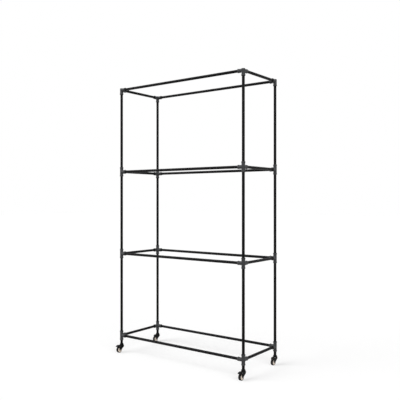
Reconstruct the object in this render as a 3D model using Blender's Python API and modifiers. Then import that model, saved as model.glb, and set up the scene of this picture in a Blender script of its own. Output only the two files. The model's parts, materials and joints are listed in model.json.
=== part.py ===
"""Rolling rack of four open tiers, built of round tube and side-outlet tube fittings.

Metres, +Z up, the front towards -Y and the floor at Z = 0.
"""
import math

import bmesh
import bpy
from mathutils import Matrix

# The frame of tubes
TIER_COUNT = 4
TIER_PITCH = 0.686
LOWEST_TIER = 0.139
POST_SPACING_X = 1.208
POST_SPACING_Y = 0.457
TUBE_DIAMETER = 0.0213
TUBE_WALL = 0.0016

# The tube fittings
FITTING_WALL = 0.0026
COLLAR_RISE = 0.0016
COLLAR_LENGTH = 0.0100
COLLAR_SLOPE = 0.0012
SLEEVE_HALF_LENGTH = 0.0385
SOCKET_DEPTH = 0.0280
SOCKET_WEB = 0.006
CAP_STAND = 0.0006
CAP_THICKNESS = 0.0035
CAP_EDGE = 0.0030

# The caster's wheel
WHEEL_DIAMETER = 0.050
TYRE_WIDTH = 0.020
TYRE_DEPTH = 0.0045
TREAD_WIDTH = 0.011
TYRE_SHOULDER = 0.0035
HUB_INSET = 0.0010
HUB_RIM = 0.0030
HUB_WEB = 0.0090
HUB_BOSS_DIAMETER = 0.0130

# The caster's fork
CASTER_TRAIL = 0.0290
WHEEL_HEADROOM = 0.0080
FORK_PLATE = 0.0020
FORK_SIDE_PLAY = 0.0016
FORK_BOSS_RADIUS = 0.0085
FORK_LEDGE_FRONT = 0.0035
FORK_LEDGE_BACK = 0.0010
FORK_CROWN_CORNER = 0.0030
FORK_CROWN_BEND = 0.0026
FORK_BACK_DROP = 0.0160
FORK_FRONT_DROP = 0.0020
AXLE_DIAMETER = 0.0060
AXLE_HEAD_DIAMETER = 0.0105
AXLE_HEAD_HEIGHT = 0.0022

# The caster's swivel head and its stem in the post
SWIVEL_HEAD_HEIGHT = 0.0130
KINGPIN_DIAMETER = 0.0090
KINGPIN_HEAD_DIAMETER = 0.0150
KINGPIN_HEAD_HEIGHT = 0.0035
RACE_INSET = 0.0001
LOWER_RACE_RISE = 0.0032
UPPER_RACE_WALL = 0.0018
UPPER_RACE_LIFT = 0.0012
FLANGE_HEIGHT = 0.0015
INSERT_LENGTH = 0.034
INSERT_EDGE = 0.0012

# The brake pedal of the two front casters
PIN_AHEAD = 0.0050
PIN_ABOVE_WHEEL = 0.0052
PIN_DIAMETER = 0.0040
PIN_HEAD_DIAMETER = 0.0066
PIN_HEAD_HEIGHT = 0.0014
PIN_EDGE = 0.0045
BARREL_WALL = 0.0020
PEDAL_OVERHANG = 0.0095
TOE_BELOW_PIN = 0.0030
BEND_AHEAD = 0.0175
BEND_ABOVE_PIN = 0.0105
HEEL_BEHIND = 0.0045
HEEL_ABOVE_PIN = 0.0070
PEDAL_PLATE = 0.0026
PEDAL_SIDE_PLAY = 0.0014
PEDAL_SWING = math.radians(11)
PEDAL_STEPS = 8
RIB_COUNT = 4
RIB_PITCH = 0.0032
RIB_WIDTH = 0.0012
RIB_RISE = 0.0008
SHOE_SIDE_PLAY = 0.0046
SHOE_LENGTH = 0.0125

# Clearance left between two pieces that touch, and the sides of the round shapes
GAP = 0.0003
TUBE_SIDES = 12
CASTER_SIDES = 12
WHEEL_SIDES = 16
RIVET_SIDES = 8

# What follows from the sizes above
TUBE_RADIUS = TUBE_DIAMETER / 2
TUBE_BORE_RADIUS = TUBE_RADIUS - TUBE_WALL
FITTING_BORE_RADIUS = TUBE_RADIUS + GAP
SLEEVE_RADIUS = FITTING_BORE_RADIUS + FITTING_WALL
COLLAR_RADIUS = SLEEVE_RADIUS + COLLAR_RISE
SOCKET_FLOOR = FITTING_BORE_RADIUS + SOCKET_WEB
SOCKET_REACH = SOCKET_FLOOR + SOCKET_DEPTH
CAP_RISE = SLEEVE_RADIUS + CAP_STAND
WHEEL_RADIUS = WHEEL_DIAMETER / 2
TYRE_CORNER_RADIUS = WHEEL_RADIUS / math.cos(math.pi / WHEEL_SIDES)
HUB_RADIUS = WHEEL_RADIUS - TYRE_DEPTH
HUB_WIDTH = TYRE_WIDTH - 2 * HUB_INSET
FORK_INNER_HALF = TYRE_WIDTH / 2 + FORK_SIDE_PLAY
FORK_OUTER_HALF = FORK_INNER_HALF + FORK_PLATE
HUB_BOSS_HALF = FORK_INNER_HALF - GAP
LOWER_RACE_RADIUS = FORK_OUTER_HALF - RACE_INSET
FORK_CROWN_FRONT = LOWER_RACE_RADIUS + FORK_LEDGE_FRONT
FORK_CROWN_BACK = LOWER_RACE_RADIUS + FORK_LEDGE_BACK
FORK_CROWN_LOW = WHEEL_DIAMETER + WHEEL_HEADROOM
FORK_CROWN_TOP = FORK_CROWN_LOW + FORK_PLATE
STEM_FOOT_HEIGHT = FORK_CROWN_TOP + SWIVEL_HEAD_HEIGHT
UPPER_RACE_RADIUS = LOWER_RACE_RADIUS + 2 * GAP + UPPER_RACE_WALL
PIN_REACH = CASTER_TRAIL + PIN_AHEAD
PIN_HEIGHT = WHEEL_DIAMETER + PIN_ABOVE_WHEEL
FORK_FRONT_REACH = PIN_REACH + PIN_EDGE
PEDAL_REACH = CASTER_TRAIL + WHEEL_RADIUS + PEDAL_OVERHANG
PEDAL_WIDTH = 2 * (FORK_INNER_HALF - PEDAL_SIDE_PLAY)
SHOE_WIDTH = 2 * (FORK_INNER_HALF - SHOE_SIDE_PLAY)
FRAME_FRONT = -POST_SPACING_Y / 2 + (PEDAL_REACH - UPPER_RACE_RADIUS) / 2
CORNERS = {
    "front_left": (-POST_SPACING_X / 2, FRAME_FRONT, 0),
    "front_right": (POST_SPACING_X / 2, FRAME_FRONT, 1),
    "back_right": (POST_SPACING_X / 2, FRAME_FRONT + POST_SPACING_Y, 2),
    "back_left": (-POST_SPACING_X / 2, FRAME_FRONT + POST_SPACING_Y, 3),
}
ALONG_X = (0, math.pi / 2, 0)
ALONG_Y = (-math.pi / 2, 0, 0)
SIDEWAYS = (math.pi / 2, 0, math.pi / 2)


def clear_scene():
    """Remove every object, so that the script can be run again."""
    for old in list(bpy.data.objects):
        bpy.data.objects.remove(old, do_unlink=True)


def new_collection(name):
    collection = bpy.data.collections.new(name)
    bpy.context.scene.collection.children.link(collection)
    return collection


def new_material(name, colour, roughness, metallic=0.0):
    material = bpy.data.materials.new(name)
    material.use_nodes = True
    shader = material.node_tree.nodes["Principled BSDF"]
    shader.inputs["Base Color"].default_value = (*colour, 1.0)
    shader.inputs["Roughness"].default_value = roughness
    shader.inputs["Metallic"].default_value = metallic
    material.diffuse_color = (*colour, 1.0)
    return material


def tier_height(tier):
    """Height of the rail centres of a tier, the lowest being tier 1."""
    return LOWEST_TIER + (tier - 1) * TIER_PITCH


def arc(centre, radius, start, end, steps):
    """Points of an arc about centre, from the angle start to the angle end."""
    turn = (end - start) / steps
    return [
        (centre[0] + radius * math.cos(start + turn * step),
         centre[1] + radius * math.sin(start + turn * step))
        for step in range(steps + 1)
    ]


def bezier(start, pull, end, steps):
    """Points of a quadratic curve from start to end, drawn towards pull."""
    points = []
    for step in range(steps + 1):
        t = step / steps
        points.append(tuple(
            (1 - t) ** 2 * a + 2 * t * (1 - t) * b + t ** 2 * c
            for a, b, c in zip(start, pull, end)))
    return points


def link_shape(name, data):
    shape = bpy.data.objects.new(name, data)
    workshop.objects.link(shape)
    return shape


def turned(profile, sides, closed=False):
    """Solid of revolution about Z. The profile is (radius, height) down its outer side.

    A closed profile comes back up its inner side, which leaves a bore.
    """
    mesh = bpy.data.meshes.new("turned")
    edges = [(index, index + 1) for index in range(len(profile) - 1)]
    if closed:
        edges.append((len(profile) - 1, 0))
    mesh.from_pydata([(radius, 0, height) for radius, height in profile], edges, [])
    shape = link_shape("turned", mesh)
    screw = shape.modifiers.new("Screw", "SCREW")
    screw.steps = screw.render_steps = sides
    screw.use_merge_vertices = True
    screw.merge_threshold = 0.00001
    return shape


def rod(radius, low, high, sides):
    """Plain cylinder about Z from low to high, with a corner at +X, where a turned shape has one."""
    mesh = bpy.data.meshes.new("rod")
    draft = bmesh.new()
    bmesh.ops.create_cone(draft, cap_ends=True, segments=sides, radius1=radius, radius2=radius,
                          depth=high - low)
    bmesh.ops.rotate(draft, verts=draft.verts, matrix=Matrix.Rotation(-math.pi / 2, 3, "Z"))
    bmesh.ops.translate(draft, verts=draft.verts, vec=(0, 0, (low + high) / 2))
    draft.to_mesh(mesh)
    draft.free()
    return link_shape("rod", mesh)


def extruded(outline, width, round_above=None, bend=0.0):
    """Flat outline of (y, z) points given width along X.

    The long outer edges above round_above get the radius bend, as where a plate is folded.
    """
    data = bpy.data.curves.new("outline", "CURVE")
    data.dimensions = "2D"
    data.fill_mode = "BOTH"
    data.extrude = width / 2
    spline = data.splines.new("POLY")
    spline.points.add(len(outline) - 1)
    for point, (y, z) in zip(spline.points, outline):
        point.co = (y, z, 0, 1)
    spline.use_cyclic_u = True
    flat = link_shape("outline", data)
    flat.rotation_euler = SIDEWAYS
    mesh = evaluated_mesh(flat)
    mesh.transform(flat.matrix_world)
    bpy.data.objects.remove(flat)
    draft = bmesh.new()
    draft.from_mesh(mesh)
    bmesh.ops.remove_doubles(draft, verts=draft.verts, dist=0.00001)
    bmesh.ops.recalc_face_normals(draft, faces=draft.faces)
    if round_above is not None:
        folds = [edge for edge in draft.edges
                 if all(vertex.co.z > round_above for vertex in edge.verts)
                 and abs(edge.verts[0].co.x + edge.verts[1].co.x) > width * 0.99
                 and edge.calc_face_angle(0) > math.radians(60)]
        bmesh.ops.bevel(draft, geom=folds, offset=bend, segments=2, profile=0.5, affect="EDGES")
    draft.to_mesh(mesh)
    draft.free()
    return link_shape("extruded", mesh)


def evaluated_mesh(shape):
    """The shape's mesh with its modifiers applied, in its own space."""
    bpy.context.view_layer.update()
    depsgraph = bpy.context.evaluated_depsgraph_get()
    return bpy.data.meshes.new_from_object(shape.evaluated_get(depsgraph))


def finished(base, joins=(), cuts=(), sharp=35):
    """Mesh of a base shape with joins added and cuts taken away. The shapes are used up."""
    for operation, tools in (("UNION", joins), ("DIFFERENCE", cuts)):
        for tool in tools:
            step = base.modifiers.new(operation, "BOOLEAN")
            step.operation = operation
            step.solver = "EXACT"
            step.object = tool
    mesh = evaluated_mesh(base)
    for shape in (base, *joins, *cuts):
        bpy.data.objects.remove(shape)
    mesh.shade_smooth()
    mesh.set_sharp_from_angle(angle=math.radians(sharp))
    return mesh


def place(name, mesh, material, location=(0, 0, 0), rotation=(0, 0, 0), parent=None):
    """Put one piece of the rack in its place. Pieces that are alike share their mesh."""
    piece = bpy.data.objects.new(name, mesh)
    piece.location = location
    piece.rotation_euler = rotation
    piece.parent = parent
    if not mesh.materials:
        mesh.materials.append(material)
    rack.objects.link(piece)
    return piece


def tube(length):
    """Hollow tube, open at both ends, centred on the origin along Z."""
    half = length / 2
    profile = [(TUBE_RADIUS, half), (TUBE_RADIUS, -half),
               (TUBE_BORE_RADIUS, -half), (TUBE_BORE_RADIUS, half)]
    return finished(turned(profile, TUBE_SIDES, closed=True))


def collar(mouth, inward):
    """Profile of the raised collar at a socket's mouth. Inward is 1 or -1, away from the mouth."""
    return [(COLLAR_RADIUS, mouth),
            (COLLAR_RADIUS, mouth + inward * (COLLAR_LENGTH - COLLAR_SLOPE)),
            (SLEEVE_RADIUS, mouth + inward * COLLAR_LENGTH)]


def rail_socket(rotation):
    """Outside of one rail socket, from the post's axis to its collar."""
    profile = [(0, SOCKET_REACH)] + collar(SOCKET_REACH, -1) + [(SLEEVE_RADIUS, 0), (0, 0)]
    shape = turned(profile, TUBE_SIDES)
    shape.rotation_euler = rotation
    return shape


def rail_bore(rotation):
    """Cutter for the blind hole that a rail's end sits in."""
    shape = rod(FITTING_BORE_RADIUS, SOCKET_FLOOR, SOCKET_REACH + COLLAR_LENGTH, TUBE_SIDES)
    shape.rotation_euler = rotation
    return shape


def side_fitting():
    """Sleeve that the post passes through, with a rail socket along +X and one along +Y."""
    half = SLEEVE_HALF_LENGTH
    profile = [(0, half)] + collar(half, -1) + list(reversed(collar(-half, 1))) + [(0, -half)]
    bore = rod(FITTING_BORE_RADIUS, -half - COLLAR_LENGTH, half + COLLAR_LENGTH, TUBE_SIDES)
    return finished(turned(profile, TUBE_SIDES),
                    joins=[rail_socket(ALONG_X), rail_socket(ALONG_Y)],
                    cuts=[bore, rail_bore(ALONG_X), rail_bore(ALONG_Y)])


def corner_fitting():
    """Top fitting: the post ends in it under a closed cap, with two rail sockets as below."""
    half = SLEEVE_HALF_LENGTH
    profile = [(0, CAP_RISE), (SLEEVE_RADIUS - CAP_EDGE, CAP_RISE), (SLEEVE_RADIUS, CAP_RISE - CAP_EDGE)]
    profile += list(reversed(collar(-half, 1))) + [(0, -half)]
    bore = rod(FITTING_BORE_RADIUS, -half - COLLAR_LENGTH, CAP_RISE - CAP_THICKNESS, TUBE_SIDES)
    return finished(turned(profile, TUBE_SIDES),
                    joins=[rail_socket(ALONG_X), rail_socket(ALONG_Y)],
                    cuts=[bore, rail_bore(ALONG_X), rail_bore(ALONG_Y)])


def caster_stem():
    """Insert in the post, flange under it, upper race and the kingpin that the fork turns on."""
    insert = TUBE_BORE_RADIUS * math.cos(math.pi / TUBE_SIDES) - GAP
    flange_top = STEM_FOOT_HEIGHT - GAP
    flange_low = flange_top - FLANGE_HEIGHT
    top = STEM_FOOT_HEIGHT + INSERT_LENGTH
    skirt_low = FORK_CROWN_TOP + UPPER_RACE_LIFT
    skirt_top = FORK_CROWN_TOP + LOWER_RACE_RISE + GAP
    head_top = FORK_CROWN_LOW - GAP
    head_low = head_top - KINGPIN_HEAD_HEIGHT
    kingpin = KINGPIN_DIAMETER / 2
    head = KINGPIN_HEAD_DIAMETER / 2
    profile = [(0, top), (insert - INSERT_EDGE, top), (insert, top - INSERT_EDGE), (insert, flange_top),
               (TUBE_RADIUS, flange_top), (TUBE_RADIUS, flange_low)]
    profile += bezier((TUBE_RADIUS, flange_low), (UPPER_RACE_RADIUS, flange_low - GAP),
                      (UPPER_RACE_RADIUS, skirt_top), 3)[1:]
    profile += [(UPPER_RACE_RADIUS, skirt_low), (UPPER_RACE_RADIUS - UPPER_RACE_WALL, skirt_low),
                (UPPER_RACE_RADIUS - UPPER_RACE_WALL, skirt_top), (kingpin, skirt_top),
                (kingpin, head_top), (head, head_top), (head - INSERT_EDGE, head_low), (0, head_low)]
    return finished(turned(profile, CASTER_SIDES))


def fork_outline():
    """Side view of the fork: crown at the top, legs tapering down to a round boss at the axle."""
    boss = (-CASTER_TRAIL, WHEEL_RADIUS)
    back = (FORK_CROWN_BACK, FORK_CROWN_TOP - FORK_BACK_DROP)
    front = (-FORK_FRONT_REACH, FORK_CROWN_TOP - FORK_FRONT_DROP)
    corner = (FORK_CROWN_BACK - FORK_CROWN_CORNER, FORK_CROWN_TOP - FORK_CROWN_CORNER)
    outline = arc(corner, FORK_CROWN_CORNER, math.pi / 2, 0, 2) + [back]
    outline += arc(boss, FORK_BOSS_RADIUS, tangent_angle(boss, back, 1),
                   tangent_angle(boss, front, -1) - 2 * math.pi, 7)
    outline += [front, (-FORK_CROWN_FRONT - FORK_CROWN_CORNER, FORK_CROWN_TOP)]
    return outline


def tangent_angle(centre, point, side):
    """Angle about centre at which a line from point touches the boss, on the chosen side."""
    away = (point[0] - centre[0], point[1] - centre[1])
    spread = math.acos(FORK_BOSS_RADIUS / math.hypot(*away))
    return math.atan2(away[1], away[0]) - side * spread


def fork_hollow():
    """Space between the legs, under the crown and open in front of it for the pedal."""
    far = 2 * WHEEL_DIAMETER
    outline = [(far, -far), (far, FORK_CROWN_LOW), (-FORK_CROWN_FRONT, FORK_CROWN_LOW),
               (-FORK_CROWN_FRONT, far), (-far, far), (-far, -far)]
    return extruded(outline, 2 * FORK_INNER_HALF)


def cross_bore(radius, y, z, sides=RIVET_SIDES):
    """Cutter for a hole along X through both legs or through the pedal."""
    shape = rod(radius, -WHEEL_DIAMETER, WHEEL_DIAMETER, sides)
    shape.rotation_euler = ALONG_X
    shape.location = (0, y, z)
    return shape


def caster_fork(with_brake):
    """Pressed fork with the lower race on its crown, and pin holes where it carries a brake."""
    body = extruded(fork_outline(), 2 * FORK_OUTER_HALF, FORK_CROWN_TOP - GAP, FORK_CROWN_BEND)
    race = rod(LOWER_RACE_RADIUS, FORK_CROWN_LOW + GAP, FORK_CROWN_TOP + LOWER_RACE_RISE, CASTER_SIDES)
    pivot = rod(KINGPIN_DIAMETER / 2 + GAP, 0, 2 * FORK_CROWN_TOP, CASTER_SIDES)
    cuts = [pivot, cross_bore(AXLE_DIAMETER / 2 + GAP, -CASTER_TRAIL, WHEEL_RADIUS)]
    if with_brake:
        cuts.append(cross_bore(PIN_DIAMETER / 2 + GAP, -PIN_REACH, PIN_HEIGHT))
    hollowed = link_shape("hollowed", finished(body, cuts=[fork_hollow()]))
    return finished(hollowed, joins=[race], cuts=cuts)


def rivet(shank, head, head_height):
    """Rivet through both legs of the fork, along Z, with a domed head outside each leg."""
    seat = FORK_OUTER_HALF + GAP
    edge = seat + head_height / 2
    top = seat + head_height
    upper = [(0, top), (head * 0.6, top), (head, edge), (head, seat), (shank, seat)]
    lower = [(radius, -height) for radius, height in reversed(upper)]
    return finished(turned(upper + lower, RIVET_SIDES))


def wheel_hub():
    """Moulded hub, dished from its boss down to its rim, with the bore along Z."""
    inner_rim = HUB_RADIUS - HUB_RIM
    boss = HUB_BOSS_DIAMETER / 2
    bore = AXLE_DIAMETER / 2 + GAP
    upper = [(bore, HUB_BOSS_HALF), (boss, HUB_BOSS_HALF), (inner_rim - GAP, HUB_WEB / 2),
             (inner_rim, HUB_WIDTH / 2), (HUB_RADIUS, HUB_WIDTH / 2)]
    lower = [(radius, -height) for radius, height in reversed(upper)]
    return finished(turned(upper + lower, WHEEL_SIDES, closed=True))


def tyre():
    """Tyre with a flat tread and round shoulders, its bore on the hub's rim, along Z."""
    bore = HUB_RADIUS + GAP / math.cos(math.pi / WHEEL_SIDES)
    half = TYRE_WIDTH / 2
    shoulder = bezier((TYRE_CORNER_RADIUS - TYRE_SHOULDER, half), (TYRE_CORNER_RADIUS, half),
                      (TYRE_CORNER_RADIUS, TREAD_WIDTH / 2), 2)
    upper = [(bore, HUB_WIDTH / 2)] + shoulder
    lower = [(radius, -height) for radius, height in reversed(upper)]
    return finished(turned(upper + lower, WHEEL_SIDES, closed=True))


def band(line, thickness):
    """Outline of a strip of even thickness about a line of points."""
    left, right = [], []
    for index, (y, z) in enumerate(line):
        before = line[max(index - 1, 0)]
        after = line[min(index + 1, len(line) - 1)]
        run = (after[0] - before[0], after[1] - before[1])
        scale = thickness / 2 / math.hypot(*run)
        left.append((y - run[1] * scale, z + run[0] * scale))
        right.append((y + run[1] * scale, z - run[0] * scale))
    return left + list(reversed(right))


def pedal_rib(point, beyond):
    """Low bar across the pedal's toe, square to the line from one point of the pedal to the next."""
    run = (beyond[0] - point[0], beyond[1] - point[1])
    length = math.hypot(*run)
    along = (run[0] / length * RIB_WIDTH / 2, run[1] / length * RIB_WIDTH / 2)
    rise = PEDAL_PLATE / 2 + RIB_RISE
    up = (run[1] / length * rise, -run[0] / length * rise)
    return extruded([(point[0] + along[0], point[1] + along[1]),
                     (point[0] + along[0] + up[0], point[1] + along[1] + up[1]),
                     (point[0] - along[0] + up[0], point[1] - along[1] + up[1]),
                     (point[0] - along[0], point[1] - along[1])], PEDAL_WIDTH - 2 * RIB_WIDTH)


def pedal_ribs(line):
    """The ribs, the first of them one pitch back from the toe along the pedal's last stretch."""
    ribs = []
    covered = 0.0
    wanted = RIB_PITCH
    for end, start in zip(reversed(line[1:]), reversed(line[:-1])):
        stretch = math.dist(start, end)
        while len(ribs) < RIB_COUNT and covered + stretch > wanted:
            share = (wanted - covered) / stretch
            point = (end[0] + (start[0] - end[0]) * share, end[1] + (start[1] - end[1]) * share)
            ribs.append(pedal_rib(point, (point[0] + end[0] - start[0], point[1] + end[1] - start[1])))
            wanted += RIB_PITCH
        covered += stretch
    return ribs


def brake_pedal():
    """Ribbed pedal plate on a barrel round its pin, with a shoe under it. The pin's axis is the origin.

    The shoe's face is cut to the tyre as it lies when the pedal is all the way down.
    """
    heel = (HEEL_BEHIND, HEEL_ABOVE_PIN)
    toe = (PIN_REACH - PEDAL_REACH + PEDAL_PLATE / 2, -TOE_BELOW_PIN)
    line = bezier(heel, (-BEND_AHEAD, BEND_ABOVE_PIN), toe, PEDAL_STEPS)
    plate = extruded(band(line, PEDAL_PLATE), PEDAL_WIDTH)
    barrel_radius = PIN_DIAMETER / 2 + GAP + BARREL_WALL
    barrel = rod(barrel_radius, -FORK_INNER_HALF + GAP, FORK_INNER_HALF - GAP, RIVET_SIDES)
    barrel.rotation_euler = ALONG_X
    middle = line[PEDAL_STEPS // 3]
    shoe = extruded([heel, (heel[0] - GAP, 0), (-barrel_radius, -2 * barrel_radius),
                     (-SHOE_LENGTH, -2 * barrel_radius), (-SHOE_LENGTH, middle[1]), middle], SHOE_WIDTH)
    axle_y = PIN_REACH - CASTER_TRAIL
    axle_z = WHEEL_RADIUS - PIN_HEIGHT
    back = -PEDAL_SWING
    wheel = cross_bore(TYRE_CORNER_RADIUS + GAP,
                       axle_y * math.cos(back) - axle_z * math.sin(back),
                       axle_y * math.sin(back) + axle_z * math.cos(back), 4 * WHEEL_SIDES)
    return finished(plate, joins=[barrel, shoe] + pedal_ribs(line),
                    cuts=[cross_bore(PIN_DIAMETER / 2 + GAP, 0, 0), wheel])


def build_frame():
    """Posts, rails and the fittings that join them."""
    top = tier_height(TIER_COUNT)
    post_top = top + CAP_RISE - CAP_THICKNESS - GAP
    post = tube(post_top - STEM_FOOT_HEIGHT)
    side = side_fitting()
    corner = corner_fitting()
    for name, (x, y, quarter) in CORNERS.items():
        place(f"post_{name}", post, tube_black, (x, y, (post_top + STEM_FOOT_HEIGHT) / 2))
        for tier in range(1, TIER_COUNT + 1):
            fitting = corner if tier == TIER_COUNT else side
            place(f"fitting_{name}_{tier}", fitting, fitting_black, (x, y, tier_height(tier)),
                  (0, 0, quarter * math.pi / 2))
    rail_end = SOCKET_FLOOR + GAP
    long_rail = tube(POST_SPACING_X - 2 * rail_end)
    short_rail = tube(POST_SPACING_Y - 2 * rail_end)
    middle = FRAME_FRONT + POST_SPACING_Y / 2
    for tier in range(1, TIER_COUNT + 1):
        z = tier_height(tier)
        place(f"rail_front_{tier}", long_rail, tube_black, (0, FRAME_FRONT, z), ALONG_X)
        place(f"rail_back_{tier}", long_rail, tube_black, (0, FRAME_FRONT + POST_SPACING_Y, z), ALONG_X)
        place(f"rail_left_{tier}", short_rail, tube_black, (-POST_SPACING_X / 2, middle, z), ALONG_Y)
        place(f"rail_right_{tier}", short_rail, tube_black, (POST_SPACING_X / 2, middle, z), ALONG_Y)


def build_casters():
    """Four casters, trailing towards the front, with a brake on each of the two front ones."""
    stem = caster_stem()
    forks = {True: caster_fork(True), False: caster_fork(False)}
    axle = rivet(AXLE_DIAMETER / 2, AXLE_HEAD_DIAMETER / 2, AXLE_HEAD_HEIGHT)
    pin = rivet(PIN_DIAMETER / 2, PIN_HEAD_DIAMETER / 2, PIN_HEAD_HEIGHT)
    hub = wheel_hub()
    tyre_mesh = tyre()
    pedal = brake_pedal()
    flat_down = (math.pi / 2, -math.pi / WHEEL_SIDES, math.pi / 2)
    for name, (x, y, _) in CORNERS.items():
        braked = name.startswith("front")
        swivel = bpy.data.objects.new(f"swivel_{name}", None)
        swivel.location = (x, y, 0)
        rack.objects.link(swivel)
        place(f"caster_stem_{name}", stem, caster_black, (x, y, 0))
        place(f"caster_fork_{name}", forks[braked], caster_black, parent=swivel)
        place(f"caster_axle_{name}", axle, zinc, (0, -CASTER_TRAIL, WHEEL_RADIUS), ALONG_X, swivel)
        place(f"wheel_hub_{name}", hub, hub_ivory, (0, -CASTER_TRAIL, WHEEL_RADIUS), flat_down, swivel)
        place(f"tyre_{name}", tyre_mesh, tyre_black, (0, -CASTER_TRAIL, WHEEL_RADIUS), flat_down, swivel)
        if braked:
            place(f"brake_pedal_{name}", pedal, pedal_black, (0, -PIN_REACH, PIN_HEIGHT), parent=swivel)
            place(f"brake_pin_{name}", pin, zinc, (0, -PIN_REACH, PIN_HEIGHT), ALONG_X, swivel)


clear_scene()
rack = new_collection("exercise_ball_rack")
workshop = new_collection("workshop")
tube_black = new_material("tube_black", (0.018, 0.018, 0.020), 0.38)
fitting_black = new_material("fitting_black", (0.032, 0.033, 0.036), 0.45)
caster_black = new_material("caster_black", (0.016, 0.016, 0.018), 0.35)
pedal_black = new_material("pedal_black", (0.014, 0.014, 0.015), 0.50)
tyre_black = new_material("tyre_black", (0.020, 0.020, 0.021), 0.75)
hub_ivory = new_material("hub_ivory", (0.72, 0.64, 0.54), 0.45)
zinc = new_material("zinc", (0.55, 0.56, 0.58), 0.35, 1.0)
build_frame()
build_casters()
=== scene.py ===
"""Looks of a tall rolling rack of round tube: coated tube, cast fittings and braked swivel casters.

Every piece is a surface worked out with numpy, in the place of the solid that it replaces.
Metres, +Z up, the front towards -Y and the floor at Z = 0.
"""

import json
import math

import bmesh
import bpy
import numpy as np
from bpy.props import FloatProperty, FloatVectorProperty, IntProperty, PointerProperty
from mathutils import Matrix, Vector


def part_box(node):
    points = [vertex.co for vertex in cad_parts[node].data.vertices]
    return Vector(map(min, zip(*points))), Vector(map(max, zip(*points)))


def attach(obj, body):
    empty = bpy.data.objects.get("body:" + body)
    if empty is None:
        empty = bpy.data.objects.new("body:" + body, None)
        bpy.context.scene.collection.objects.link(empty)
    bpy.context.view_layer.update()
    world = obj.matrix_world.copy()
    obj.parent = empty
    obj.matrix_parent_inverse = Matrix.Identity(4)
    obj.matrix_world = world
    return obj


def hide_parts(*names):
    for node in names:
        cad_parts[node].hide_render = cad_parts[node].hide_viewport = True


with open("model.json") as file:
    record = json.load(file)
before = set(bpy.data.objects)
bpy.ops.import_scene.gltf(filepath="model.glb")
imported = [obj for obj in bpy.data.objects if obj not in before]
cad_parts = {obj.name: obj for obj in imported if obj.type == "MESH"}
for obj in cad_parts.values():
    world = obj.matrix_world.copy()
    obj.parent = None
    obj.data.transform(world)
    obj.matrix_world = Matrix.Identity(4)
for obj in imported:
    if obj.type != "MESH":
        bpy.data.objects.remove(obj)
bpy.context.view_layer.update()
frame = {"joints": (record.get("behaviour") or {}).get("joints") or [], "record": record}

bl_info = {
    "name": "Exercise Ball Rack",
    "version": (1, 1, 0),
    "blender": (4, 5, 0),
    "location": "View3D > Sidebar > Ball Rack",
    "description": "Builds the coated tubes, cast fittings and casters of a rolling ball rack",
    "category": "Object",
}

TURN = math.tau
MM = 0.001
CORNERS = ("front_left", "front_right", "back_right", "back_left")
BRAKED = CORNERS[:2]
TIERS = (1, 2, 3, 4)
RIGHT, BACK, UP = np.eye(3)
RACE_SIDES = 72
SMALL_SIDES = 48
SHARP_EDGE = math.radians(40)
MERGE_WITHIN = 1e-6
LONGEST_CUT = 0.45


def mm(*sizes):
    """Millimetres as metres."""
    return np.array(sizes) * MM


# Places and sizes read from the frame

def low_high(node):
    return np.array(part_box(node))


def centre_of(node):
    return low_high(node).mean(axis=0)


def size_of(node):
    return np.ptp(low_high(node), axis=0)


def post_axis(corner):
    """Point on the floor under a post, on the axis of the post and of its caster's swivel."""
    return centre_of(f"post_{corner}") * (1, 1, 0)


def caster_box(node):
    """Lowest and highest corner of a node of the front left caster, from the swivel's axis."""
    return low_high(f"{node}_front_left") - post_axis("front_left")


BODY_OF = {node: body for body, nodes in frame["record"]["behaviour"]["bodies"].items() for node in nodes}
LIMITS = {joint["name"]: joint.get("range_deg") for joint in frame["joints"]}

TUBE_RADIUS = size_of("post_front_left")[0] / 2
LOWEST_TIER = centre_of("rail_front_1")[2]
TIER_PITCH = centre_of("rail_front_2")[2] - LOWEST_TIER
SOCKET_REACH = low_high("fitting_front_left_2")[1][0] - post_axis("front_left")[0]
SLEEVE_HALF = size_of("fitting_front_left_2")[2] / 2
STEM_FOOT = low_high("post_front_left")[0][2]
HUB_CENTRE = centre_of("wheel_hub_front_left") - post_axis("front_left")
HUB_YZ = HUB_CENTRE[1:]
TYRE_RADIUS = HUB_CENTRE[2]
TYRE_WIDTH = size_of("tyre_front_left")[0]
(_, FORK_FRONT, FORK_LOW), (_, FORK_BACK, LOWER_RACE_TOP) = caster_box("caster_fork")
FORK_HALF = size_of("caster_fork_front_left")[0] / 2
FORK_BOSS = HUB_CENTRE[2] - FORK_LOW
(_, _, STEM_LOW), (_, _, STEM_HIGH) = caster_box("caster_stem")
UPPER_RACE_RADIUS = size_of("caster_stem_front_left")[0] / 2
PIN_CENTRE = centre_of("brake_pin_front_left") - post_axis("front_left")
PEDAL_TOE = caster_box("brake_pedal")[0][1]
PEDAL_SWING = math.radians(LIMITS["brake_front_left"][1])
GAP = 0.3 * MM


# Settings that a user would change

def tint(name, thing, default):
    return FloatVectorProperty(name=name, description=f"Colour of the {thing}", default=default,
                               subtype="COLOR", min=0, max=1)


def size_mm(name, description, millimetres):
    return FloatProperty(name=name, description=description, default=millimetres * MM, unit="LENGTH")


def amount(name, description, default, **limits):
    return FloatProperty(name=name, description=description, default=default, min=0, **limits)


def fraction(name, description, default):
    return amount(name, description, default, max=1, subtype="FACTOR")


class RackFinish(bpy.types.PropertyGroup):
    tube_coat: tint("Tube coat", "powder coat on posts and rails", (0.0022, 0.0022, 0.0024))
    fitting_coat: tint("Fitting coat", "greyer coat on the castings", (0.034, 0.035, 0.037))
    caster_coat: tint("Caster coat", "coat on forks and stems", (0.0022, 0.0022, 0.0025))
    pedal_plastic: tint("Pedal plastic", "brake pedals", (0.0042, 0.0042, 0.0046))
    rubber: tint("Rubber", "tyres", (0.0055, 0.0055, 0.0058))
    hub_plastic: tint("Hub plastic", "moulded wheel hubs", (0.95, 0.85, 0.75))
    zinc: tint("Zinc", "dulled plating on rivets and pins", (0.13, 0.13, 0.135))


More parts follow.
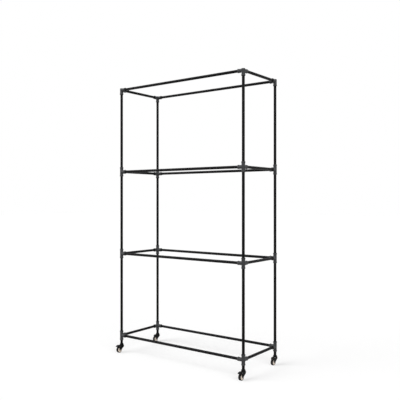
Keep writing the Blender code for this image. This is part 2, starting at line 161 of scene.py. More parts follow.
class RackSizes(bpy.types.PropertyGroup):
    tube_wall: size_mm("Tube wall", "Wall of posts and rails", 1.6)
    fitting_wall: size_mm("Fitting wall", "Wall of a fitting's sleeves outside the tube", 2.6)
    collar_rise: size_mm("Collar rise", "How far the band at a socket's mouth stands out", 1.6)
    collar_length: size_mm("Collar length", "Length of the band at a socket's mouth", 10)
    cast_fillet: size_mm("Cast fillet", "Width over which two sleeves of a fitting run together", 5)
    cap_edge: size_mm("Cap edge", "Radius round the closed end of a top fitting", 3)
    fork_plate: size_mm("Fork plate", "Thickness of the pressed fork", 2)
    fold_radius: size_mm("Fold radius", "Outer radius of the fork's two folds", 2.6)
    tyre_depth: size_mm("Tyre depth", "Rubber between the hub's rim and the floor", 4.5)
    pedal_plate: size_mm("Pedal plate", "Thickness of the brake pedal", 2.6)
    tube_sides: IntProperty(
        name="Tube sides", description="Facets round a tube or sleeve", default=64, min=16)
    wheel_sides: IntProperty(
        name="Wheel sides", description="Facets round a wheel", default=120, min=24)


class RackStage(bpy.types.PropertyGroup):
    key_strength: amount("Key light", "Strength of the main lamp, in front on the left", 2.15)
    fill_strength: amount("Fill light", "Strength of the weaker lamp on the right", 1.8)
    sky_strength: amount("Sky light", "Strength of the even light from all round", 0.3)
    bounce: fraction("Floor bounce", "Share of its light that the floor sends back up", 0.35)
    floor_glow: fraction("Floor glow", "Share of the floor's white that no shadow takes away", 0.45)


# Surfaces. A shape is its points, its faces and how rubbed each point is

def points_of(*coordinates):
    """Points from coordinates that spread over each other's rows and columns."""
    return np.stack(np.broadcast_arrays(*coordinates), axis=-1)


def length_of(vectors):
    return np.linalg.norm(vectors, axis=-1, keepdims=True)


def sheet_of(grid, close_rows=False, rub=0.0):
    """Shape of a grid of points whose columns close on themselves.

    A face looks along the step down a row times the step along it.
    """
    rows, columns = grid.shape[:2]
    index = np.arange(rows * columns).reshape(rows, columns)
    index = np.hstack([index, index[:, :1]])
    if close_rows:
        index = np.vstack([index, index[:1]])
    faces = points_of(index[:-1, :-1], index[1:, :-1], index[1:, 1:], index[:-1, 1:])
    return grid.reshape(-1, 3), faces.reshape(-1, 4), np.broadcast_to(rub, (rows, columns)).reshape(-1)


def angles(sides):
    return np.arange(sides) * TURN / sides


def round_z(radius, height):
    """Grid round Z of radii and heights with a column for each angle: x = r cos a, y = r sin a, z = h."""
    angle = angles(radius.shape[1])
    return points_of(radius * np.cos(angle), radius * np.sin(angle), height)


def revolve(profile, sides, closed=False, rub=0.0):
    """Profile of (radius, height) carried round Z."""
    radius = np.repeat(profile[:, :1], sides, axis=1)
    return sheet_of(round_z(radius, profile[:, 1:]), closed, np.reshape(rub, (-1, 1)))


def both_ends(upper):
    """A profile's upper half followed by its mirror image below the middle."""
    upper = np.asarray(upper, float)
    return np.vstack([upper, upper[::-1] * (1, -1)])


def arc(centre, radius, start, end, count):
    """Points at a radius round a centre: C + r (cos a, sin a)."""
    angle = np.linspace(start, end, count)
    return centre + radius * points_of(np.cos(angle), np.sin(angle))


def drawn_curve(start, pull, end, steps):
    """Quadratic curves from start to end, drawn towards pull: (1-t)^2 S + 2 t (1-t) P + t^2 E."""
    t = np.linspace(0, 1, steps + 1)[:, None]
    start, pull, end = [np.asarray(point)[..., None, :] for point in (start, pull, end)]
    return (1 - t) ** 2 * start + 2 * t * (1 - t) * pull + t ** 2 * end


def eased(line, radius, steps=4, closed=False):
    """Line with each corner P rounded by the quadratic curve from P + r u to P + r v.

    The directions u and v run from P to its neighbours, and r is at most LONGEST_CUT of either stretch.
    """
    line = np.asarray(line, float)
    before = np.roll(line, 1, axis=0) - line
    after = np.roll(line, -1, axis=0) - line
    cut = np.minimum(radius, LONGEST_CUT * np.minimum(length_of(before), length_of(after)))
    start = line + before / length_of(before) * cut
    end = line + after / length_of(after) * cut
    curve = drawn_curve(start, line, end, steps)
    return np.vstack(curve) if closed else np.vstack([line[:1], *curve[1:-1], line[-1:]])


def smooth_step(value, low, high):
    """0 below low, 1 above high and 3 s^2 - 2 s^3 between them."""
    share = np.clip((value - low) / (high - low), 0, 1)
    return share ** 2 * (3 - 2 * share)


def lay(shapes, at=(0, 0, 0), axis="Z", turn=0.0):
    """Shapes turned about Z, rolled over until their Z lies along an axis, and moved to a place."""
    cos, sin = math.cos(turn), math.sin(turn)
    turned = np.array([[cos, sin, 0], [-sin, cos, 0], [0, 0, 1]])
    over = "ZXY".index(axis)
    return [(np.roll(points @ turned, over, axis=1) + at, faces, rub) for points, faces, rub in shapes]


def upside_down(shape, at):
    """Shape mirrored in the floor, its faces still looking outwards, and moved to a place."""
    points, faces, rub = shape
    return points * (1, 1, -1) + at, faces[:, ::-1], rub


def prism(outline, half, ease):
    """Outline of (y, z) carried along X between -half and half, drawn in by ease at both rims.

    Each rim closes on the outline's middle, which sees the whole outline. The outline turns right.
    """
    middle = outline.mean(axis=0)
    reach = length_of(outline - middle).max()
    drawn_in = 1 - ease / reach
    slightly = 1 - 0.3 * ease / reach
    share = np.array([0, drawn_in, slightly, 1, 1, slightly, drawn_in, 0])[:, None, None]
    ledge = np.array([half, half, half - 0.3 * ease, half - ease])
    place = np.hstack([-ledge, ledge[::-1]])[:, None]
    flat = middle + (outline - middle) * share
    return sheet_of(points_of(place, flat[..., 0], flat[..., 1]))


def new_piece(name, shapes, material, body):
    """One object made of closed shapes, at the origin, riding on a body."""
    starts = np.cumsum([0] + [len(points) for points, _, _ in shapes])
    faces = np.vstack([faces + start for (_, faces, _), start in zip(shapes, starts)])
    rub = np.hstack([rub for _, _, rub in shapes])
    mesh = bpy.data.meshes.new(name)
    mesh.from_pydata(np.vstack([points for points, _, _ in shapes]), [], faces)
    mesh.attributes.new("rub", "FLOAT", "POINT").data.foreach_set("value", rub)
    draft = bmesh.new()
    draft.from_mesh(mesh)
    bmesh.ops.remove_doubles(draft, verts=draft.verts, dist=MERGE_WITHIN)
    draft.to_mesh(mesh)
    draft.free()
    mesh.shade_smooth()
    mesh.set_sharp_from_angle(angle=SHARP_EDGE)
    mesh.materials.append(material)
    piece = bpy.data.objects.new(name, mesh)
    bpy.context.scene.collection.objects.link(piece)
    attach(piece, body)
    return piece


def stand_in(node, made, shapes, material):
    """Piece in the place of a CAD node, on its body, named after the way it is made."""
    piece = new_piece(f"{node}.{made}", shapes, material, BODY_OF[node])
    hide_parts(node)


# Tubes

def tube_shape(radius, wall, length, sides):
    """Hollow tube about Z with its cut ends eased: a closed profile carried round the axis."""
    half = length / 2
    ring = [(radius, half), (radius, -half), (radius - wall, -half), (radius - wall, half)]
    return revolve(eased(ring, 0.35 * MM, closed=True), sides, closed=True)


# Fittings, about the point where their three axes cross

ARMS = np.array([RIGHT, BACK, UP, -UP])
ARM_ROWS = 16
ROW_CROWDING = 1.6
CAP_ROWS = 28
HALVINGS = 36
CAP_RISE = 0.6 * MM
CAP_WALL = 3.5 * MM
CAP_BLEND = MM
SOCKET_FLOOR = TUBE_RADIUS + GAP + 6 * MM
SCREW_SHIFT = 3 * MM


class Casting:
    """The joined sleeves of a fitting: one along Z, capped or not, and one each along +X and +Y."""

    def __init__(self, sizes, capped):
        self.sizes = sizes
        self.radius = TUBE_RADIUS + GAP + sizes.fitting_wall
        self.cap = self.radius + CAP_RISE if capped else None

    def run_together(self, first, second, width):
        """The lower of two distances, less w h^2 / 4, where h falls from 1 to 0 as they differ by w."""
        near = np.maximum(width - np.abs(first - second), 0) / width
        return np.minimum(first, second) - near ** 2 * width / 4

    def outside_by(self, point):
        """Distance outside the joined sleeves, below 0 inside them."""
        x, y, z = np.moveaxis(point, -1, 0)
        upright = np.hypot(x, y) - self.radius
        if self.cap is not None:
            edge = self.sizes.cap_edge
            past_edge = np.maximum(upright + edge, 0)
            past_cap = np.maximum(z - self.cap + edge, 0)
            upright = np.where(past_cap > 0, np.hypot(past_edge, past_cap) - edge, upright)
        along_x = np.hypot(y, z) - self.radius - 2 * np.minimum(x, 0)
        along_y = np.hypot(x, z) - self.radius - 2 * np.minimum(y, 0)
        fillet = self.sizes.cast_fillet
        joined = self.run_together(self.run_together(upright, along_x, fillet), along_y, fillet)
        return joined if self.cap is None else -self.run_together(-joined, self.cap - z, CAP_BLEND)

    def leave(self, start, direction):
        """How far along direction a ray from start leaves the sleeves, found by halving."""
        low = np.zeros(start.shape[:-1])
        high = np.full(start.shape[:-1], 3 * self.radius)
        for _ in range(HALVINGS):
            middle = (low + high) / 2
            outside = self.outside_by(start + direction * middle[..., None]) > 0
            high = np.where(outside, middle, high)
            low = np.where(outside, low, middle)
        return low

    def first_rays(self, side, up):
        """An arm's direction, those round it, their lean, and the rays halfway to the arm's neighbours."""
        forward = np.cross(side, up)
        angle = angles(self.sizes.tube_sides)[:, None]
        outward = np.cos(angle) * side + np.sin(angle) * up
        lean = np.maximum((outward @ ARMS.T).max(axis=1), 0)
        return forward, outward, lean, outward + lean[:, None] * forward

    def arm(self, side, up, end, ring):
        """One arm along side x up, from where it meets the others out to its mouth.

        Two parameters: the angle a round the arm and the distance s along it. Rows start in the planes
        between the arms, follow the joined surface to s = end, and then follow the ring, a line of
        (radius, distance) that is the same at every angle.
        """
        forward, outward, lean, ray = self.first_rays(side, up)
        first = self.leave(np.zeros_like(ray), ray)
        begin = first * lean
        share = np.linspace(0, 1, ARM_ROWS)[:, None] ** ROW_CROWDING
        base = (begin + (end - begin) * share)[..., None] * forward
        reach = self.leave(base, np.broadcast_to(outward, base.shape))
        reach[0] = first
        surface = base + outward * reach[..., None]
        radius, place = ring.T
        tail = place[:, None, None] * forward + radius[:, None, None] * outward
        on_crest, on_band = [radius > self.radius + above for above in mm(1.2, 0.9)]
        crest = place[on_crest]
        from_edge = np.minimum(place - crest.min(), crest.max() - place)
        worn = on_band * (1 - smooth_step(from_edge, *mm(0.5, 1.3)))
        rub = np.hstack([np.zeros(len(surface)), worn])[:, None]
        return sheet_of(np.vstack([surface, tail])[:, ::-1], rub=rub)

    def closed_end(self, side, up):
        """Cap over the upper end: rays from the middle that turn from the arm's first rays up to Z."""
        forward, _, _, ray = self.first_rays(side, up)
        turn = np.linspace(0, 1, CAP_ROWS)[:, None, None]
        rays = ray * (1 - turn) + forward * turn
        rays = rays / length_of(rays)
        grid = rays * self.leave(np.zeros_like(rays), rays)[..., None]
        from_axis = np.hypot(grid[..., 0], grid[..., 1])
        edge = smooth_step(grid[..., 2], self.cap - self.sizes.cap_edge, self.cap - 0.4 * MM)
        edge = edge * smooth_step(from_axis, self.radius - 4.5 * MM, self.radius - 2.5 * MM)
        return sheet_of(grid[:, ::-1], rub=edge)

    def mouth(self, end, floor, closed):
        """Line of (radius, distance) over the band at a mouth, in over its lip and down the bore."""
        lip, chamfer, slope = mm(0.8, 0.9, 1.3)
        bore = TUBE_RADIUS + GAP / 2
        body = self.radius
        crest = body + self.sizes.collar_rise
        start = end - self.sizes.collar_length
        line = [(body, start - MM), (body, start), (crest, start + slope), (crest, start + 3 * MM),
                (crest, end - 2 * MM), (crest, end - lip / 2), (crest - lip, end),
                (bore + chamfer, end), (bore, end - chamfer), (bore, floor)]
        ring = eased(line, lip)
        return np.vstack([ring, [(0, floor)]]) if closed else ring


def fitting_shapes(sizes, top):
    """The arms of a fitting about its centre: sleeve up and down, sockets along +X and +Y.

    The top fitting has a closed cap in place of its upper sleeve.
    """
    casting = Casting(sizes, top)
    band = sizes.collar_length + 2 * MM
    socket = (SOCKET_REACH - band, casting.mouth(SOCKET_REACH, SOCKET_FLOOR, True))
    sleeve = (SLEEVE_HALF - band, casting.mouth(SLEEVE_HALF, CAP_WALL - casting.cap if top else 0, top))
    return [
        casting.closed_end(RIGHT, BACK) if top else casting.arm(RIGHT, BACK, *sleeve),
        casting.arm(BACK, RIGHT, *sleeve),
        casting.arm(BACK, UP, *socket),
        casting.arm(UP, RIGHT, *socket),
    ]


def screw_boss():
    """Low round boss that a set screw goes through, on the surface of a sleeve at Z = 0."""
    well, crest, foot = mm(3.2, 4.4, 5.2)
    floor, rise, root = mm(0.9, 1.3, -1.2)
    line = [(0, floor), (well, floor), (well, rise), (crest, rise), (foot, root), (0, root)]
    return revolve(eased(line, 0.3 * MM), SMALL_SIDES)


def grub_screw():
    """Set screw about Z with a hexagon recess, whose radius is c / cos(a mod 60 degrees)."""
    body, chamfered, half_flats = mm(2.7, 2.45, 1.5)
    foot, shoulder, top, floor = mm(-0.6, 1.15, 1.35, -0.3)
    angle = angles(SMALL_SIDES)
    hexagon = half_flats / np.cos((angle + TURN / 12) % (TURN / 6) - TURN / 12)
    rings = [(0, foot), (body, foot), (body, shoulder), (chamfered, top), (hexagon, top), (hexagon, floor),
             (0, floor)]
    grids = [round_z(radius + 0 * angle[None], height) for radius, height in rings[::-1]]
    return sheet_of(np.vstack(grids))


# Casters, about the point on the floor under the swivel

CROWN_TOP = LOWER_RACE_TOP - 3.2 * MM
CROWN_FRONT = -17 * MM
CROWN_CORNER = 3 * MM
KINGPIN_RADIUS = 4.5 * MM
PLATE_EDGE = 0.35 * MM
HUB_SET_IN = MM
POCKETS = 6
AXLE = {"shank": 3 * MM, "head": 5.2 * MM, "rise": 2.2 * MM}
PIN = {"shank": 1.9 * MM, "head": 3.3 * MM, "rise": 1.4 * MM}


def stem_shape(sizes):
    """Tube insert, flange, domed upper race and riveted kingpin as one turned profile."""
    race = UPPER_RACE_RADIUS
    insert = TUBE_RADIUS - sizes.tube_wall - 0.55 * MM
    chamfer, head, dimple = mm(1.2, 7.5, 0.8)
    flange_top = STEM_FOOT - GAP
    flange_low = flange_top - 1.5 * MM
    skirt_low = LOWER_RACE_TOP - 2 * MM
    roof = LOWER_RACE_TOP + GAP
    underside = CROWN_TOP - sizes.fork_plate - GAP
    plug = [(0, STEM_HIGH), (insert - chamfer, STEM_HIGH), (insert, STEM_HIGH - chamfer),
            (insert, flange_top), (TUBE_RADIUS, flange_top), (TUBE_RADIUS, flange_low)]
    dome = drawn_curve((TUBE_RADIUS, flange_low), (race, flange_low - GAP), (race, roof), 10)[1:]
    skirt = [(race, skirt_low), (race - 1.6 * MM, skirt_low), (race - 1.8 * MM, roof),
             (KINGPIN_RADIUS, roof), (KINGPIN_RADIUS, underside)]
    rivet = [(head, underside), (head - 0.6 * MM, underside - 2 * MM), (head - 2.6 * MM, STEM_LOW),
             (2.2 * MM, STEM_LOW), (1.6 * MM, STEM_LOW + dimple), (0, STEM_LOW + dimple)]
    return revolve(eased(np.vstack([plug, dome, skirt, rivet]), 0.6 * MM), RACE_SIDES)


def leg_edge(line, side):
    """Edge of a leg as (y, z) from the boss's lowest point up round the boss and on along a line.

    It leaves the boss where a line to the first point touches it: at that point's angle round the
    axle, less acos(r / d) towards the side.
    """
    away = line[0] - HUB_YZ
    touch = math.atan2(away[1], away[0]) - side * math.acos(FORK_BOSS / np.hypot(*away))
    if side < 0:
        touch -= TURN
    return np.vstack([arc(HUB_YZ, FORK_BOSS, -TURN / 4, touch, 24), line])


def pressed_relief(point, down):
    """Height of the pressed form on a leg: a raised pad round the axle and a rib up to the crown.

    The pad is a smooth step of the distance to the axle, and the rib a bell of the distance to the
    line from the axle to the crown's middle.
    """
    pad_rise, rib_rise, rib_width = mm(0.35, 0.7, 2.6)
    offset = point[..., 1:] - HUB_YZ
    pad = 1 - smooth_step(np.hypot(offset[..., 0], offset[..., 1]), *mm(5.4, 6.6))
    line = np.array([-2 * MM, CROWN_TOP]) - HUB_YZ
    length = np.hypot(*line)
    along = offset @ line / length
    aside = (offset[..., 0] * line[1] - offset[..., 1] * line[0]) / length
    reach = smooth_step(along, *mm(9, 13)) * (1 - smooth_step(along, length - 10 * MM, length - 5 * MM))
    rib = np.exp(-(aside / rib_width) ** 2) * reach
    on_leg = np.clip(down / (2 * MM), 0, 1)[:, None]
    return (pad_rise * pad + rib_rise * rib) * on_leg


def fold_line(sizes):
    """The plate's outer face across the fork: up one leg, over the crown and down the other.

    Gives x, z, the normal, the distance down the leg past the fold, and the share of the way that
    the point still lies on the crown.
    """
    bend = sizes.fold_radius
    flat = FORK_HALF - bend
    quarter = bend * TURN / 4
    leg = CROWN_TOP - bend - (HUB_CENTRE[2] - FORK_BOSS)
    half = np.hstack([np.linspace(0, flat, 11)[:-1], flat + np.linspace(0, quarter, 11)[:-1],
                      flat + quarter + leg * np.sin(np.linspace(0, TURN / 4, 48))])
    fold = np.hstack([-half[:0:-1], half])
    away = np.abs(fold)
    sign = np.where(fold < 0, -1.0, 1.0)
    angle = np.clip((away - flat) / bend, 0, TURN / 4)
    down = np.maximum(away - flat - quarter, 0)
    x = sign * (np.minimum(away, flat) + bend * np.sin(angle))
    z = CROWN_TOP - bend * (1 - np.cos(angle)) - down
    normal = points_of(sign * np.sin(angle), 0, np.cos(angle))
    on_crown = np.clip((flat + quarter / 3 - away) / (2.5 * MM), 0, 1)
    return x, z, normal, down, on_crown


def fork_shapes(sizes):
    """Pressed fork: a folded plate of two parameters, the distance over the fold and the share v back.

    At each place on the fold the plate spans from the leg's front edge to its back edge, and a closed
    line round its thickness, with its corners cut, is carried over the fold. The lower race is a
    turned ring on the crown.
    """
    x, z, normal, down, on_crown = fold_line(sizes)
    above = CROWN_TOP + MM
    corner = CROWN_CORNER
    front = leg_edge([(FORK_FRONT, CROWN_TOP - 2 * MM), (CROWN_FRONT - corner, CROWN_TOP),
                      (CROWN_FRONT - corner, above)], -1)
    back = leg_edge([(FORK_BACK, CROWN_TOP - 16 * MM), (FORK_BACK, CROWN_TOP - corner),
                     (FORK_BACK - 0.3 * corner, CROWN_TOP - 0.3 * corner),
                     (FORK_BACK - corner, CROWN_TOP), (FORK_BACK - corner, above)], 1)
    y_front = np.interp(z, front[:, 1], front[:, 0])
    y_front = y_front + (CROWN_FRONT - y_front) * on_crown
    y_back = np.interp(z, back[:, 1], back[:, 0])
    share = np.linspace(0, 1, 28)
    y = y_back[:, None] + (y_front - y_back)[:, None] * share
    outer = points_of(x[:, None], y, z[:, None])
    outer = outer + normal[:, None] * pressed_relief(outer, down)[..., None]
    inner = outer - normal[:, None] * sizes.fork_plate
    cut = np.minimum(PLATE_EDGE, 0.3 * (y_back - y_front))
    draw_in = np.zeros((len(y), len(share), 3))
    draw_in[:, 0, 1] = -cut
    draw_in[:, -1, 1] = cut
    rim = PLATE_EDGE * normal[:, None]
    loop = np.hstack([outer + draw_in, outer[:, -1:] - rim, inner[:, -1:] + rim,
                      (inner + draw_in)[:, ::-1], inner[:, :1] + rim, outer[:, :1] - rim])
    worn = np.zeros(loop.shape[:2])
    worn[:, [0, len(share) - 1, len(share), -1]] = 1
    race = FORK_HALF - 0.1 * MM
    bore = KINGPIN_RADIUS + GAP
    seat = CROWN_TOP - 0.5 * MM
    ring = eased([(bore, seat), (race, seat), (race, LOWER_RACE_TOP - MM),
                  (race - 1.2 * MM, LOWER_RACE_TOP), (bore, LOWER_RACE_TOP)], 0.5 * MM, closed=True)
    return [sheet_of(loop[:, ::-1], rub=worn), revolve(ring[::-1], RACE_SIDES, closed=True)]


def rivet_shape(shank, head, rise):
    """Rivet about Z through both legs: domed heads, each with a shallow dimple where it was set."""
    seat = FORK_HALF + GAP
    upper = [(0, seat + rise * 0.72), (head * 0.3, seat + rise * 0.8), (head * 0.45, seat + rise),
             (head * 0.8, seat + rise * 0.78), (head, seat + rise * 0.3), (head, seat), (shank, seat)]
    return revolve(eased(both_ends(upper), 0.5 * MM), SMALL_SIDES)


def hub_shape(sizes):
    """Coned hub with pockets: its face drops where both the angle and the radius lie inside one."""
    bore, boss, web, pocket_depth = mm(3.2, 6.5, 4.5, 1.6)
    rim = TYRE_RADIUS - sizes.tyre_depth
    inner_rim = rim - 3 * MM
    boss_top = FORK_HALF - sizes.fork_plate - GAP
    half = TYRE_WIDTH / 2 - HUB_SET_IN
    cone = drawn_curve((boss + 0.5 * MM, boss_top - 1.6 * MM), (boss + 4.5 * MM, web + 1.2 * MM),
                       (inner_rim - 0.6 * MM, web), 24)
    face = [(bore, boss_top), (boss - 0.8 * MM, boss_top), (boss, boss_top - 0.6 * MM)]
    lip = [(inner_rim, web + 0.7 * MM), (inner_rim + 0.3 * MM, half - 0.5 * MM), (inner_rim + 0.8 * MM, half),
           (rim - 0.4 * MM, half), (rim, half - 0.4 * MM)]
    profile = both_ends(np.vstack([face, cone, lip]))
    angle = angles(sizes.wheel_sides)
    radius, height = profile[:, :1] + 0 * angle, profile[:, 1:]
    from_spoke = np.abs((angle * POCKETS / TURN) % 1 - 0.5) * TURN / POCKETS * radius
    clear_of_spoke = smooth_step(from_spoke.max(axis=1, keepdims=True) - from_spoke, *mm(1.2, 2.2))
    clear_of_rims = smooth_step(radius, boss + 1.4 * MM, boss + 2.6 * MM)
    clear_of_rims = clear_of_rims * (1 - smooth_step(radius, inner_rim - 2.4 * MM, inner_rim - 1.2 * MM))
    height = height - np.sign(height) * pocket_depth * clear_of_spoke * clear_of_rims
    low_place = smooth_step(radius, boss, inner_rim) * (1 - smooth_step(np.abs(height), *mm(4.6, 7)))
    return sheet_of(round_z(radius, height), close_rows=True, rub=low_place)


def tyre_shape(sizes):
    """Tyre carried round its axle: crowned tread with a mould line, round shoulders, a lip over the rim."""
    tread = TYRE_RADIUS
    half = TYRE_WIDTH / 2
    bore = tread - sizes.tyre_depth + 0.02 * MM
    lip = bore - 1.5 * MM
    beside_hub = half - HUB_SET_IN + 0.03 * MM
    line_width, line_depth = mm(0.35, 0.18)
    wall = [(bore, beside_hub), (lip + 0.3 * MM, beside_hub), (lip, beside_hub + 0.25 * MM),
            (lip + 0.4 * MM, beside_hub + 0.6 * MM), (bore, beside_hub + 0.65 * MM),
            (bore + 0.3 * MM, half - 0.1 * MM), (bore + 0.9 * MM, half)]
    shoulder = drawn_curve((tread - 2.6 * MM, half), (tread, half), (tread - 0.1 * MM, half - 4.5 * MM), 8)
    crown = [(tread, half - 6.5 * MM), (tread, line_width), (tread - line_depth, 0.12 * MM)]
    profile = eased(both_ends(np.vstack([wall, shoulder, crown])), 0.4 * MM, steps=2, closed=True)
    rub = smooth_step(profile[:, 0], tread - 0.6 * MM, tread - 0.1 * MM)
    return revolve(profile, sizes.wheel_sides, closed=True, rub=rub)


def tyre_below_pin():
    """Place of the axle in the pedal's own space when the pedal is pressed all the way down."""
    cos, sin = math.cos(PEDAL_SWING), math.sin(PEDAL_SWING)
    y, z = HUB_YZ - PIN_CENTRE[1:]
    return np.array([y * cos + z * sin, z * cos - y * sin])


def pedal_line(sizes, steps):
    """Middle line of the pedal from heel to toe, from the pin's axis, and the way that its top looks."""
    heel, pull = mm(4.5, 7), mm(-17.5, 10.5)
    toe = (PEDAL_TOE - PIN_CENTRE[1] + sizes.pedal_plate / 2, -3 * MM)
    line = drawn_curve(heel, pull, toe, steps)
    run = np.gradient(line, axis=0)
    run = run / length_of(run)
    return line, points_of(run[:, 1], -run[:, 0])


def pedal_shell(sizes, half_wide):
    """Pedal plate: a flat line round a bar, turned down at its sides, carried from heel to toe.

    The sides fall by the fourth power of the distance from the middle. Low ribs cross the toe, a row
    of bells along the curve's length, and the plate thins to a round end at heel and toe, where its two
    faces meet in one line.
    """
    rib_places = mm(3.4, 6.6, 9.8, 13)
    rib_width, rib_rise, droop = mm(0.65, 0.65, 1.5)
    line, upward = pedal_line(sizes, 110)
    thick = sizes.pedal_plate / 2 - 0.1 * MM
    top = points_of(np.linspace(-1, 1, 29) * (half_wide - 0.4 * MM), thick)
    side = np.array([(half_wide, thick - 0.5 * MM), (half_wide, 0.5 * MM - thick)])
    loop = np.vstack([top, side, top[::-1] * (1, -1), side[::-1] * (-1, 1)])
    along = np.hstack([0, np.cumsum(length_of(np.diff(line, axis=0)))])
    to_toe = along[-1] - along
    ribs = sum(np.exp(-((to_toe - place) / rib_width) ** 2) for place in rib_places)
    on_top = (loop[:, 1] > 0) & (np.abs(loop[:, 0]) < 0.86 * half_wide)
    rounded = np.sqrt(1 - (1 - np.clip(np.minimum(along, to_toe) / (1.2 * MM), 0, 1)) ** 2)[:, None]
    narrow = 1 - 0.07 * smooth_step(to_toe, 6 * MM, 0)[:, None]
    lift = loop[:, 1] * rounded - droop * np.abs(loop[:, 0] / half_wide) ** 4
    lift = lift + rib_rise * ribs[:, None] * on_top
    grid = points_of(loop[:, 0] * narrow, line[:, :1] + upward[:, :1] * lift,
                     line[:, 1:] + upward[:, 1:] * lift)
    return sheet_of(grid, rub=ribs[:, None] * on_top)


def pedal_shapes(sizes):
    """Brake pedal about its pin: the plate, the barrel round the pin and the shoe under it.

    The shoe's face is an arc about the place where the axle lies when the pedal is all the way down.
    """
    inside_legs = FORK_HALF - sizes.fork_plate
    barrel_radius, bore = mm(4.2, 2.1)
    end = inside_legs - GAP
    barrel = eased([(barrel_radius, end), (barrel_radius, -end), (bore, -end), (bore, end)], 0.4 * MM,
                   closed=True)
    wheel = tyre_below_pin()
    reach = TYRE_RADIUS + 0.45 * MM
    far, near = mm(-12.5, -1.2)
    face = arc(wheel, reach, math.acos((near - wheel[0]) / reach), math.acos((far - wheel[0]) / reach), 12)
    line = pedal_line(sizes, 8)[0]
    shoe = np.vstack([face, [(far, line[2][1] - 1.4 * MM), (-7.5 * MM, line[2][1]), line[1], line[0],
                             (4 * MM, 0.6 * MM)]])
    return [pedal_shell(sizes, inside_legs - 1.4 * MM),
            *lay([revolve(barrel, SMALL_SIDES, closed=True)], axis="X"),
            prism(shoe, inside_legs - 4.6 * MM, 0.5 * MM)]


# Materials

def math_operator(operation, swapped=False):
    """A Python operator of a Sock, which adds a Math node."""
    def add_node(self, *others):
        values = (self, *others)
        return self.math(operation, *(values[::-1] if swapped else values))
    return add_node


class Sock:
    """An output of a node. Python's operators on it add Math nodes to its tree."""

    def __init__(self, wiring, output):
        self.wiring = wiring
        self.output = output

    def math(self, operation, *values, clamp=False):
        return self.wiring.node("Math", dict(enumerate(values)), operation=operation, use_clamp=clamp)

    __add__ = math_operator("ADD")
    __radd__ = math_operator("ADD", swapped=True)
    __sub__ = math_operator("SUBTRACT")
    __rsub__ = math_operator("SUBTRACT", swapped=True)
    __mul__ = math_operator("MULTIPLY")
    __rmul__ = math_operator("MULTIPLY", swapped=True)
    __mod__ = math_operator("FLOORED_MODULO")
    __abs__ = math_operator("ABSOLUTE")

    def clamped(self):
        """The value held between 0 and 1."""
        return self.math("ADD", self, 0, clamp=True)

    def twin(self, output):
        """Another output of the same node."""
        return Sock(self.wiring, self.output.node.outputs[output])


class Wiring:
    """Adds nodes to a tree. Every node comes from one method."""

    def __init__(self, tree):
        self.tree = tree

    def feed(self, node, inputs):
        """Link each of a node's sockets that is given a Sock, and set those that are given a value."""
        for key, value in inputs.items():
            if isinstance(value, Sock):
                self.tree.links.new(value.output, node.inputs[key])
            else:
                node.inputs[key].default_value = value

    def node(self, kind, inputs=(), output=0, **settings):
        """Add a node of a kind: its settings first, then the values or links of its sockets."""
        added = self.tree.nodes.new(f"ShaderNode{kind}")
        for key, value in settings.items():
            setattr(added, key, value)
        self.feed(added, dict(inputs))
        return Sock(self, added.outputs[output])

    def seen(self):
        """1 for what the camera sees, straight or in a reflection or through glass, and 0 for light."""
        path = self.node("LightPath", output="Is Camera Ray")
        return (path + path.twin("Is Glossy Ray") + path.twin("Is Transmission Ray")).clamped()


class Paint(Wiring):
    """Builds one material. Its methods add nodes and return the Sock of one output."""

    def __init__(self, name):
        self.material = bpy.data.materials.new(name)
        self.material.use_nodes = True
        super().__init__(self.material.node_tree)
        self.shader = self.tree.nodes["Principled BSDF"]
        self.place = self.node("TexCoord", output="Object")

    def noise(self, scale, detail=2, roughness=0.5, stretch=None):
        """Noise on Object coordinates. Scale is in cycles per metre."""
        where = self.place
        if stretch is not None:
            where = self.node("Mapping", {"Vector": where, "Scale": stretch}, vector_type="POINT")
        return self.node("TexNoise", {"Vector": where, "Scale": scale, "Detail": detail,
                                      "Roughness": roughness}, "Fac")

    def worn(self):
        """The piece's own attribute, which is 1 where it is rubbed."""
        return self.node("Attribute", output="Fac", attribute_name="rub").clamped()

    def facing_up(self):
        """1 where a surface looks straight up, 0 where it looks sideways or down."""
        return self.node("SeparateXYZ", {"Vector": self.place.twin("Normal")}, "Z").clamped()

    def step(self, value, low, high):
        """Smooth step of a value from 0 at low to 1 at high."""
        return self.node("MapRange", {"Value": value, "From Min": low, "From Max": high},
                         interpolation_type="SMOOTHSTEP")

    def mix(self, share, first, second):
        """Colour between two colours. Sockets 6, 7 and 2 are the Mix node's colours."""
        return self.node("Mix", {0: share, 6: colour(first), 7: colour(second)}, 2, data_type="RGBA")

    def coats(self, base, ground, *layers):
        """The base times ground, under layers of a share and a tone: a colour or a multiple of the base."""
        coat = scaled(base, ground)
        for share, tone in layers:
            coat = self.mix(share, coat, scaled(base, tone) if isinstance(tone, float) else tone)
        return coat

    def relief(self, *layers):
        """Normal of reliefs laid over each other, each of a height, a strength and a depth in mm."""
        normal = {}
        for height, strength, depth in layers:
            inputs = {"Height": height, "Strength": strength, "Distance": depth * MM}
            normal = {"Normal": self.node("Bump", inputs | normal)}
        return normal["Normal"]

    def finish(self, coat, rough, relief, shine=0.5, metal=0):
        """Give the shader what changes over the surface and what is the same all over."""
        self.feed(self.shader, {"Base Color": coat, "Roughness": rough, "Normal": relief,
                                "Specular IOR Level": shine, "Metallic": metal})
        return self.material


def colour(value):
    """A colour with its alpha. A Sock passes through."""
    return value if isinstance(value, Sock) else (*value[:3], 1)


def scaled(value, factor):
    return tuple(channel * factor for channel in value)


